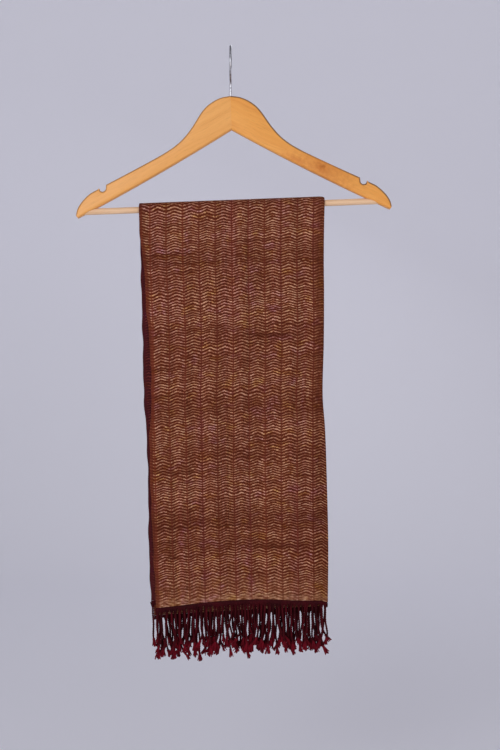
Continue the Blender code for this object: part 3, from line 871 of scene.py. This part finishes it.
# The weave: columns of zigzag twill, 23 mm wide. Tan weft floats lie in waves that rise 3.5 mm to
# each column's middle, a wave every 3.9 mm, over a dark warp that shows plain between columns. The
# tones run from the bare ground, through weft half sunk in it, to the crown of a float.
def weave_material(name, tones, stripe_tint, warp_tint, float_share):
    column_pitch = 23.3 * MM
    peak_from_fold = 6.5 * MM
    wave_rise = 3.5 * MM
    wave_pitch = 3.9 * MM
    tread = 3.2 * MM
    warp_pitch = 1.15 * MM
    material, tree, shader = start_material(
        name, Roughness=0.92, Specular_IOR_Level=0.12, Sheen_Weight=0.03, Sheen_Tint=tones[-1][1]
    )
    place = signal(tree, "ShaderNodeUVMap", "UV", uv_map="cloth")
    flat_across, flat_along, _ = place.parts()

    # Clouds of noise, with so many to a metre across the cloth and along it
    def cloud(across_scale, along_scale, detail=2.0, rough=0.5, output="Fac"):
        stretched = place.vector_step("MULTIPLY", (across_scale, along_scale, 1.0))
        return stretched.noise(1.0, detail, rough, output)

    # Uneven hand: columns wander sideways, and the weft is beaten up closer in some places
    def drift(across_scale, along_scale):
        return cloud(across_scale, along_scale) - 0.5

    across = drift(18.0, 9.0) * (2.4 * MM) + flat_across
    along = drift(4.0, 16.0) * (16.0 * MM) + flat_along
    along = drift(70.0, 130.0) * (2.0 * MM) + along
    along = drift(300.0, 110.0) * (1.9 * MM) + along
    along = drift(620.0, 400.0) * (1.3 * MM) + along

    # Share of the way from a column's edge to its middle, partly in the steps of a twill
    def column_share(where):
        turn = ((where - (flat_width / 2 + peak_from_fold)) / column_pitch).step("FRACT")
        return (turn - 0.5).step("ABSOLUTE") * 2.0

    tread_number = (across / tread).step("FLOOR")
    smooth_share = column_share(across)
    rise = smooth_share * (0.35 * wave_rise)
    rise = column_share((tread_number + 0.5) * tread) * (0.40 * wave_rise) + rise
    rise = smooth_share.soft_step(0.0, 1.0) * (0.25 * wave_rise) + rise
    wave = (along - rise) / wave_pitch
    wave_number = wave.step("FLOOR")
    valley = (wave.step("FRACT") * 2.0 - 1.0).step("ABSOLUTE")
    ridge = valley * -1.0 + 1.0
    floats = ridge.soft_step(0.86 - float_share * 1.5, 1.16 - float_share * 0.6)

    # Bands, streaks and patches across the cloth, where the weft's yarn ran darker or lighter
    no_change = 0.5
    bands = [(height * MM / flat_front, grey(no_change + tone)) for height, tone in weft_bands]
    bands = [(0.0, grey(no_change)), *bands, (1.0, grey(no_change))]
    weft_tone = (flat_along / flat_front).step("FRACT").ramp(bands, "EASE") + (1.0 - no_change)
    weft_tone = (cloud(3.2, 60.0, 4.0, 0.65) - 0.5) * 0.4 + weft_tone
    weft_tone = drift(30.0, 60.0) * 0.3 + weft_tone
    weft_tone = cloud(7.0, 190.0, 3.0).soft_step(0.56, 0.70) * -0.34 + weft_tone

    def speck(first, second):
        pair = signal(tree, "ShaderNodeCombineXYZ", "Vector", {"X": first, "Y": second})
        return signal(tree, "ShaderNodeTexWhiteNoise", "Value", {"Vector": pair})

    # Each dash of weft shows more or less, and so does each wave and each stretch of the cloth
    streaks = cloud(34.0, 150.0, 3.0, 0.6)
    shown_share = speck(tread_number, wave_number).step("POWER", 1.4) * 0.62 + 0.57
    shown_share = speck(wave_number, 3.0) * 0.14 + shown_share
    shown_share = (streaks - 0.5) * 0.7 + shown_share
    shown_share = drift(520.0, 760.0) * 1.3 + shown_share
    under = ridge.soft_step(0.42, 0.0) * speck(wave_number, tread_number)
    floats = under * 0.20 + floats * shown_share
    floats = floats * smooth_share.soft_step(0.03, 0.15, 0.55, 1.0)
    floats = floats * (weft_tone * 1.1 - 0.1)

    # By the hem the last weft lies close and flat. Along the fold the weave is pressed dull, but less
    # towards the front hem, and painted shade darkens it there. A narrow selvedge shows more warp than
    # weft.
    ragged_hem = drift(40.0, 40.0) * (7.0 * MM) + attribute(tree, "from_hem")
    hem_band = ragged_hem.soft_step(7.0 * MM, 11.0 * MM, 0.45, 0.0)
    hem_band = hem_band + ragged_hem.soft_step(26.0 * MM, 40.0 * MM, 0.20, 0.0)
    hem_weft = (cloud(120.0, 620.0, 3.0, 0.6) - 0.5) * 4.4 + 0.74
    from_fold = (flat_across - flat_width / 2).step("ABSOLUTE")
    # Pressed weave along the fold, and painted shade where the cloth turns away round it
    pressed_and_fold_shade = from_fold.soft_step(9.0 * MM, 24.0 * MM, 1.0, 0.0)
    flattened_and_fold_shaded = pressed_and_fold_shade * flat_along.soft_step(180.0 * MM, 330.0 * MM)
    selvedge = attribute(tree, "from_side").soft_step(3.2 * MM, 6.0 * MM, 1.0, 0.0)
    floats = signal(tree, "ShaderNodeMix", 0, {0: hem_band, 2: floats, 3: hem_weft})
    floats = floats * (flattened_and_fold_shaded * -0.46 + 1.0)
    floats = flattened_and_fold_shaded * 0.11 + floats
    floats = floats * (selvedge * -0.62 + 1.0)
    shown = (floats * 0.8).ramp(tones)

    # Warp threads of slightly different dye, which show plain between the columns
    plain = smooth_share.soft_step(0.13, 0.03) * streaks.soft_step(0.62, 0.40, 0.35, 1.0)
    shown = blend(tree, (plain * 0.55).step("MAXIMUM", selvedge * 0.4), shown, stripe_tint)
    warp_tone = speck((across / warp_pitch).step("FLOOR"), 7.0) * 0.24 + 0.88
    warp_tone = (cloud(52.0, 2.0, 3.0) - 0.5) * 0.62 + warp_tone
    warp_drift = cloud(60.0, 3.0, 3.0).soft_step(0.44, 0.70)

    # Patches where the weft's dye leans to olive or to plum
    dye = cloud(46.0, 70.0, output="Color").parts("ShaderNodeSeparateColor")
    for share, tint in (
        (warp_drift * 0.5, warp_tint),
        (dye[0].soft_step(0.52, 0.72, 0.0, 0.8), (1.04, 1.07, 0.62, 1.0)),
        (dye[1].soft_step(0.54, 0.74, 0.0, 0.6), (0.94, 0.82, 1.50, 1.0)),
        (hem_band * 1.5, (0.97, 1.08, 1.04, 1.0)),
        (pressed_and_fold_shade, (0.97, 0.92, 0.82, 1.0)),
    ):
        shown = blend(tree, share, shown, tint, "MULTIPLY")
    # The tone takes the fold's painted shade as well as the dye
    dyed_and_fold_shaded_tone = (weft_tone * 0.5 + 0.5) * warp_tone * (pressed_and_fold_shade * -0.12 + 1.0)
    blend(tree, 1.0, shown, dyed_and_fold_shaded_tone, "MULTIPLY").to(shader, "Base Color")

    relief = (across * (2 * pi / warp_pitch)).step("SINE") * 0.10 + floats
    relief = place.noise(1400.0, 3.0, 0.7) * 0.35 + relief
    add_relief(shader, relief, 0.7, 0.4 * MM)
    return material


face_wool = weave_material(
    "zigzag wool, face",
    (
        (0.0, colour(76, 23, 4)), (0.35, colour(116, 63, 40)),
        (0.7, colour(165, 112, 85)), (1.0, colour(199, 152, 120)),
    ),
    colour(106, 48, 36), (1.0, 0.84, 1.30, 1.0), 0.38,
)
reverse_wool = weave_material(
    "zigzag wool, reverse",
    (
        (0.0, colour(60, 17, 19)), (0.3, colour(76, 27, 26)),
        (0.65, colour(96, 40, 36)), (1.0, colour(122, 58, 48)),
    ),
    colour(70, 22, 26), (0.96, 0.80, 1.20, 1.0), 0.30,
)
shawl = mesh_piece("wool_shawl", skins[0] + skins[1], shell_faces, [reverse_wool, face_wool])
shawl.data.polygons.foreach_set("material_index", [0] * skin_faces + [1] * skin_faces)
flat_map = shawl.data.uv_layers.new(name="cloth")
for loop in shawl.data.loops:
    flat_map.data[loop.index].uv = flat_places[loop.vertex_index % len(flat_places)]
for label, one_skin in distances.items():
    reach = shawl.data.attributes.new(label, "FLOAT", "POINT")
    reach.data.foreach_set("value", one_skin * 2)
clean(shawl)
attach(shawl, "root")
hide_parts("shawl_front_fall", "shawl_over_bar", "shawl_back_fall")


# Fringe header
# Past the last weft the warp is caught in a narrow band, dark maroon, that follows each hem through
# both leaves and the fold. The fringe's yarns leave its ragged lower edge.
stretch_gap = 0.3 * MM
header_height = 6.0 * MM
header_columns = 420
header_rings = 10


def yarn_material(name, deep, bright, scale, tone_share):
    material, tree, shader = start_material(
        name, Roughness=0.9, Specular_IOR_Level=0.12, Sheen_Weight=0.05, Sheen_Tint=bright
    )
    shader.inputs["Sheen Roughness"].default_value = 0.4
    place = signal(tree, "ShaderNodeTexCoord", "Object")
    fibre = place.noise(scale, 4.0, 0.65)
    share = place.noise(60.0) * 0.5 + (fibre * 0.9 - 0.64)
    share = attribute(tree, "yarn_tone") * tone_share + share
    blend(tree, share, deep, bright).to(shader, "Base Color")
    add_relief(shader, fibre, 0.5, 0.2 * MM)
    return material


def hem_run(fall, across):
    low = fall_point(fall, max(across - 0.01, 0.0), 1.0)
    high = fall_point(fall, min(across + 0.01, 3.0), 1.0)
    return (high - low).normalized()


def build_header(name, fall, seed):
    shuffle = random.Random(seed)
    points = []
    for column in range(header_columns + 1):
        across = 3.0 * column / header_columns
        along = hem_run(fall, across)
        outward = Vector((along.y, -along.x, 0.0)).normalized()
        top = fall_point(fall, across, 1.0) - upright(stretch_gap * 0.4)
        drop = header_height + shuffle.uniform(-2.2, 2.0) * MM
        thick = wall / 2 * shuffle.uniform(0.72, 1.0)
        for ring in range(header_rings):
            turn = 2 * pi * ring / header_rings
            down = upright(drop * (0.5 + 0.5 * cos(turn)))
            points.append(top - down + outward * thick * sin(turn))
    header = mesh_piece(name, points, ring_faces(header_columns + 1, header_rings), [header_yarn])
    clean(header)
    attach(header, "root")
    return header


header_yarn = yarn_material("fringe header yarn", colour(44, 5, 10), colour(108, 20, 32), 1500.0, 0.0)
headers = [build_header("header_" + fall.end, fall, seed) for fall, seed in zip(falls, (11, 12))]


# Fringe
# Six ends of warp run together below the header and are twisted into a two-ply strand, which is
# knotted and cut so that the loose yarn stands in a small brush. 80 strands hang at each end.
strands_per_leaf = 40
strand_end_margin = 3.5 * MM
root_jitter = 1.6 * MM
root_below_hem = 2.0 * MM
strand_lengths = (59.0, 61.5, 56.0, 60.5, 68.0, 57.5, 62.5, 54.5, 61.0, 65.0, 58.5)
lanes_per_leaf = 3
lane_pitch = 3.2 * MM
lane_phase = 1.7
back_phase = 0.9
clump_pull = 5.0 * MM
clump_spacing = 52.0 * MM
own_pull_most = 7.0 * MM
own_wave_sizes = (0.5 * MM, 2.3 * MM)
sway = 1.4 * MM
knot_share = 0.81
curl_starts = 0.52
tip_curl = 5.0 * MM
edge_lean = 0.5
line_steps = 28


# Line of one strand, from its root to its knot. It hangs in one of its leaf's three lanes, leans to
# its clump and sways a little, and one at a free edge leans in.
def strand_line(fall, leaf, number, shuffle):
    lane = 0 if leaf == "inner" else lanes_per_leaf
    left = edge_place(fall.edges, leaf + "_left", 1.0)
    right = bend_place(fall.edges, 1.0)
    usable = right - left + bend_reach - 2 * strand_end_margin
    middle = strand_end_margin + usable * number / (strands_per_leaf - 1)
    middle += shuffle.uniform(-root_jitter, root_jitter)
    across = middle / (right - left)
    if across > 1.0:
        into_bend = min((middle - right + left) / bend_reach, 0.95)
        across = 1.0 + asin(into_bend) / pi
    if leaf == "outer":
        across = 3.0 - across
    root = fall_point(fall, across, 1.0) - upright(stretch_gap + root_below_hem)
    length = strand_lengths[(number * 7 + lane * 3) % len(strand_lengths)] * MM
    length *= fall.strand_share
    phase = lane_phase * lane + (back_phase if fall.side > 0 else 0.0)
    pull = clump_pull * sin(2 * pi * root.x / clump_spacing + phase)
    lane_y = fall.side * lane_pitch * (0.5 + lane + number % lanes_per_leaf)
    lean = pull + shuffle.uniform(-own_pull_most, own_pull_most)
    own_wave = shuffle.uniform(*own_wave_sizes)
    own_phase = shuffle.uniform(0.0, 2 * pi)
    end_curl = shuffle.uniform(-1.0, 1.0) * tip_curl
    if number == 0:
        lean = abs(lean) * edge_lean
        end_curl = abs(end_curl)
    line = []
    for step in range(line_steps + 1):
        share = knot_share * step / line_steps
        swing = sway * sin(2 * pi * share + 2.4 * number + lane)
        swing += own_wave * sin(9.0 * share + own_phase)
        curl = end_curl * max(share - curl_starts, 0.0) ** 2 / (knot_share - curl_starts) ** 2
        x = root.x + lean * share * share + swing * share + curl
        y = root.y + (lane_y - root.y) * share + own_wave * cos(7.0 * share + own_phase) * share
        line.append(Vector((x, y, root.z - length * share)))
    return line, hem_run(fall, across), length * (1.0 - knot_share)


def strand_lines(name, fall, seed):
    shuffle = random.Random(seed)
    points = []
    edges = []
    runs = []
    brushes = []
    for leaf in ("inner", "outer"):
        for number in range(strands_per_leaf):
            line, run, brush = strand_line(fall, leaf, number, shuffle)
            base = len(points)
            points += line
            edges += [(base + step, base + step + 1) for step in range(line_steps)]
            runs += [*run] * len(line)
            brushes += [brush] * len(line)
    mesh = bpy.data.meshes.new(name)
    mesh.from_pydata(points, edges, [])
    mesh.attributes.new("hem_run", "FLOAT_VECTOR", "POINT").data.foreach_set("vector", runs)
    mesh.attributes.new("brush_length", "FLOAT", "POINT").data.foreach_set("value", brushes)
    return add_object(name, mesh)


fringe_yarn = yarn_material("twisted fringe yarn", colour(38, 4, 8), colour(132, 17, 36), 2200.0, 0.75)
fringe_sizes = {
    "Ply Radius": 0.98 * MM,
    "Twist Radius": 0.62 * MM,
    "Twist Pitch": 6.5 * MM,
    "Twist Step": 0.95 * MM,
    "Warp Ends": 6,
    "Warp Spacing": 1.35 * MM,
    "Warp Radius": 0.62 * MM,
    "Gather Share": 0.22,
    "Knot Radius": 2.1 * MM,
    "Brush Yarns": 14,
    "Brush Spread": 0.20,
    "Seed": 0,
    "Yarn": fringe_yarn,
}
socket_kinds = {float: "Float", int: "Int", bpy.types.Material: "Material"}


def build_fringe_tree():
    tree = bpy.data.node_groups.new("knotted fringe", "GeometryNodeTree")
    tree.interface.new_socket(name="Lines", in_out="INPUT", socket_type="NodeSocketGeometry")
    tree.interface.new_socket(name="Fringe", in_out="OUTPUT", socket_type="NodeSocketGeometry")
    for label, value in fringe_sizes.items():
        kind = "NodeSocket" + socket_kinds[type(value)]
        tree.interface.new_socket(name=label, in_out="INPUT", socket_type=kind)
    given = {socket.name: Signal(tree, socket) for socket in add_node(tree, "NodeGroupInput").outputs}

    def geo(kind, output, values=None, **settings):
        return signal(tree, "GeometryNode" + kind, output, values, **settings)

    def named(label, data_type):
        return geo("InputNamedAttribute", "Attribute", {"Name": label}, data_type=data_type)

    def stored(geometry, label, value, data_type, domain):
        values = {"Geometry": geometry, "Name": label, "Value": value}
        return geo("StoreNamedAttribute", "Geometry", values, data_type=data_type, domain=domain)

    def scaled(vector, factor):
        values = {0: vector, "Scale": factor}
        return signal(tree, "ShaderNodeVectorMath", "Vector", values, operation="SCALE")

    def chance(low, high, seed_step):
        values = {2: low, 3: high, "Seed": given["Seed"] + seed_step}
        return signal(tree, "FunctionNodeRandomValue", 1, values, data_type="FLOAT")

    def toned(geometry, low, high, seed_step, domain):
        return stored(geometry, "yarn_tone", chance(low, high, seed_step), "FLOAT", domain)

    def trimmed(start, end):
        values = {"Curve": lines, "Start": start, "End": end}
        return geo("TrimCurve", "Curve", values, mode="FACTOR")

    def resampled(curve, mode, entry, value):
        return geo("ResampleCurve", "Curve", {"Curve": curve, entry: value}, mode=mode)

    def copied(geometry, amount):
        values = {"Geometry": geometry, "Amount": amount}
        outputs = add_node(tree, "GeometryNodeDuplicateElements", values, domain="SPLINE").outputs
        return Signal(tree, outputs["Geometry"]), Signal(tree, outputs["Duplicate Index"])

    def moved(geometry, offset):
        return geo("SetPosition", "Geometry", {"Geometry": geometry, "Offset": offset})

    def tube(curve, radius, sides, scale=1.0):
        profile = geo("CurvePrimitiveCircle", "Curve", {"Resolution": sides, "Radius": radius})
        values = {"Curve": curve, "Profile Curve": profile, "Scale": scale, "Fill Caps": True}
        return geo("CurveToMesh", "Mesh", values)

    # A shape at each point, turned about its own axis by chance and then to face along a vector
    def placed(shape, points, facing, seed_step, values):
        spin = {"Z": chance(0.0, 2 * pi, seed_step)}
        spin = signal(tree, "ShaderNodeCombineXYZ", "Vector", spin)
        turned = {"Rotation": spin, "Vector": facing}
        turned = signal(tree, "FunctionNodeAlignRotationToVector", "Rotation", turned, axis="Z")
        values = {"Points": points, "Instance": shape, "Rotation": turned, **values}
        return geo("InstanceOnPoints", "Instances", values)

    tangent = geo("InputTangent", "Tangent")
    normal = geo("InputNormal", "Normal")
    factor = geo("SplineParameter", "Factor")
    lines = geo("MeshToCurve", "Curve", {"Mesh": given["Lines"]})
    lines = stored(lines, "strand_way", tangent, "FLOAT_VECTOR", "POINT")

    # Two plies wound round the strand's line, from where the warp ends have come together
    twisted = trimmed(given["Gather Share"] * 0.55, 1.0)
    twisted = resampled(twisted, "LENGTH", "Length", given["Twist Step"])
    plies, ply_number = copied(toned(twisted, 0.0, 0.25, 1, "CURVE"), 2)
    turn = geo("SplineParameter", "Length") / given["Twist Pitch"] * (2 * pi)
    turn = ply_number * pi + turn
    binormal = tangent.vector_step("CROSS_PRODUCT", normal)
    ply_side = scaled(normal, turn.step("COSINE"))
    ply_side = ply_side.vector_step("ADD", scaled(binormal, turn.step("SINE")))
    strands = tube(moved(plies, scaled(ply_side, given["Twist Radius"])), given["Ply Radius"], 5)

    # Warp ends that run together from the header
    gathered = resampled(trimmed(0.0, given["Gather Share"]), "COUNT", "Count", 7)
    ends, end_number = copied(gathered, given["Warp Ends"])
    from_middle = end_number - (given["Warp Ends"] - 1.0) / 2.0
    apart = (factor * -1.0 + 1.0).step("POWER", 1.4)
    spread = scaled(named("hem_run", "FLOAT_VECTOR"), from_middle * given["Warp Spacing"] * apart)
    depth = {"Y": (from_middle * 2.4).step("SINE") * (0.5 * MM)}
    depth = signal(tree, "ShaderNodeCombineXYZ", "Vector", depth)
    ends = toned(moved(ends, spread.vector_step("ADD", depth)), 0.0, 0.1, 2, "CURVE")
    warp_ends = tube(ends, given["Warp Radius"], 4)

    # A knot at the end of each strand: the yarn wound twice round itself
    knot_radius = given["Knot Radius"]
    tips = geo("CurveEndpointSelection", "Selection", {"Start Size": 0, "End Size": 1})
    winding = {
        "Resolution": 8,
        "Rotations": 2.4,
        "Start Radius": knot_radius * 0.62,
        "End Radius": knot_radius * 0.5,
        "Height": knot_radius * 1.5,
    }
    knot = tube(geo("CurveSpiral", "Curve", winding), knot_radius * 0.46, 5)
    knots = placed(knot, lines, tangent, 3, {"Selection": tips, "Scale": chance(0.85, 1.15, 4)})
    knots = toned(knots, 0.2, 0.7, 5, "INSTANCE")

    # The brush below each knot: short bent ends of yarn, each a little off the strand's line
    bend = {"Resolution": 4, "Start": (0.0,) * 3, "Middle": (0.05, 0.0, 0.5), "End": (0.13, 0.0, 0.92)}
    bend = geo("CurveQuadraticBezier", "Curve", bend)
    yarn_end = tube(bend, 0.075, 4, factor * -0.25 + 1.0)
    roots = {"Geometry": lines, "Selection": tips, "Amount": given["Brush Yarns"]}
    roots = geo("DuplicateElements", "Geometry", roots, domain="POINT")
    scatter = {0: (-1.0, -1.0, -1.0), 1: (1.0, 1.0, 1.0), "Seed": given["Seed"] + 6}
    scatter = signal(tree, "FunctionNodeRandomValue", 0, scatter, data_type="FLOAT_VECTOR")
    way = named("strand_way", "FLOAT_VECTOR").vector_step("ADD", scaled(scatter, given["Brush Spread"]))
    brush_scale = named("brush_length", "FLOAT") * chance(0.78, 1.08, 7)
    roots = moved(roots, scaled(scatter, 0.5 * MM))
    brushes = placed(yarn_end, roots, way, 8, {"Scale": brush_scale})
    brushes = toned(brushes, 0.35, 1.0, 9, "INSTANCE")

    joined = add_node(tree, "GeometryNodeJoinGeometry")
    for part in (strands, warp_ends, knots, brushes):
        part.to(joined, "Geometry")
    made = Signal(tree, joined.outputs["Geometry"])
    for kind, values in (
        ("SetShadeSmooth", {}),
        ("RealizeInstances", {}),
        ("SetMaterial", {"Material": given["Yarn"]}),
    ):
        made = geo(kind, "Geometry", {"Geometry": made, **values})
    made.to(add_node(tree, "NodeGroupOutput"), "Fringe")
    return tree


fringe_tree = build_fringe_tree()
for fall, seed in zip(falls, (21, 22)):
    fringe = strand_lines("fringe_strands_" + fall.end, fall, seed)
    twist = fringe.modifiers.new("twist", "NODES")
    twist.node_group = fringe_tree
    for item in fringe_tree.interface.items_tree:
        if item.in_out == "INPUT" and item.name in fringe_sizes:
            twist[item.identifier] = seed if item.name == "Seed" else fringe_sizes[item.name]
    settle(fringe, fringe_yarn)
    for label in ("hem_run", "brush_length", "strand_way"):
        if label in fringe.data.attributes:
            fringe.data.attributes.remove(fringe.data.attributes[label])
    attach(fringe, "root")
    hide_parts("fringe_" + fall.end)
